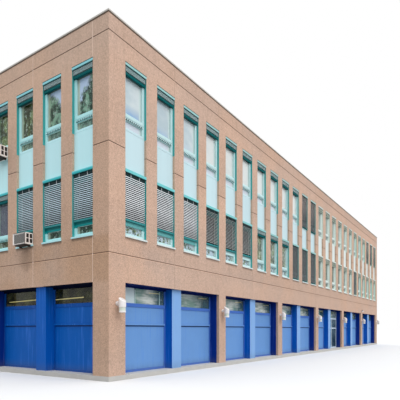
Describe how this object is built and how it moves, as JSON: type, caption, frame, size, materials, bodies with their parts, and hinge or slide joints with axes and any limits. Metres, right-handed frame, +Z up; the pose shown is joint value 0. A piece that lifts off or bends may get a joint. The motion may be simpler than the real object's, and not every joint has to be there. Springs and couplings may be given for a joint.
{
  "type": "three-storey office building",
  "caption": "Long precast concrete office building with slot windows over turquoise spandrels, a recessed blue ground floor and a flat roof.",
  "frame": {"origin": "middle of the footprint of the walls, at ground level", "axes": "+X along the long front, to the right seen from outside; +Y from the front to the rear; +Z up"},
  "size_m": [37.175, 13.202, 11.05],
  "materials": {
    "concrete": "exposed aggregate precast concrete, pinkish buff",
    "floor_concrete": "plain grey concrete",
    "roof_gravel": "gravel on roofing felt",
    "coping_metal": "pale painted sheet",
    "turquoise_frame": "satin paint",
    "turquoise_trim": "satin paint",
    "spandrel": "satin enamelled sheet",
    "window_glass": "clear, slightly green",
    "blind": "satin slats",
    "post_blue": "satin paint",
    "panel_blue": "satin paint",
    "lining_blue": "satin paint",
    "glazing_frame": "satin paint",
    "lamp_white": "glossy",
    "cooler_casing": "satin cream paint"
  },
  "bodies": {
    "root": {"clerestory_panes": "window_glass", "drip_rails": "panel_blue", "edge_beams": "floor_concrete", "end_head_panels": "concrete", "end_lintel_panels": "concrete", "end_lower_piers": "concrete", "end_parapet_panels": "concrete", "end_sill_panels": "concrete", "end_upper_piers": "concrete", "first_floor_slab": "floor_concrete", "front_head_panels": "concrete", "front_lintel_panels": "concrete", "front_lower_piers": "concrete", "front_parapet_panels": "concrete", "front_sill_panels": "concrete", "front_upper_piers": "concrete", "glazed_bay_frame": "glazing_frame", "glazed_bay_panes": "window_glass", "globe_lamp": "lamp_white", "ground_piers": "concrete", "ground_slab": "floor_concrete", "infill_frames": "panel_blue", "infill_posts": "post_blue", "lintel_and_upper_returns": "concrete", "lower_and_parapet_returns": "concrete", "lower_infill_panels": "panel_blue", "parapet_coping": "coping_metal", "pier_linings": "lining_blue", "rear_head_panels": "concrete", "rear_lintel_panels": "concrete", "rear_lower_piers": "concrete", "rear_parapet_panels": "concrete", "rear_sill_panels": "concrete", "rear_upper_piers": "concrete", "roof_covering": "roof_gravel", "roof_slab": "floor_concrete", "second_floor_slab": "floor_concrete", "spandrel_panels": "spandrel", "upper_infill_panels": "panel_blue", "wall_lamps": "lamp_white", "window_blinds": "blind", "window_coolers": "cooler_casing", "window_frames": "turquoise_frame", "window_headers": "turquoise_trim", "window_panes": "window_glass", "window_sills": "turquoise_frame"}
  },
  "joints": []
}
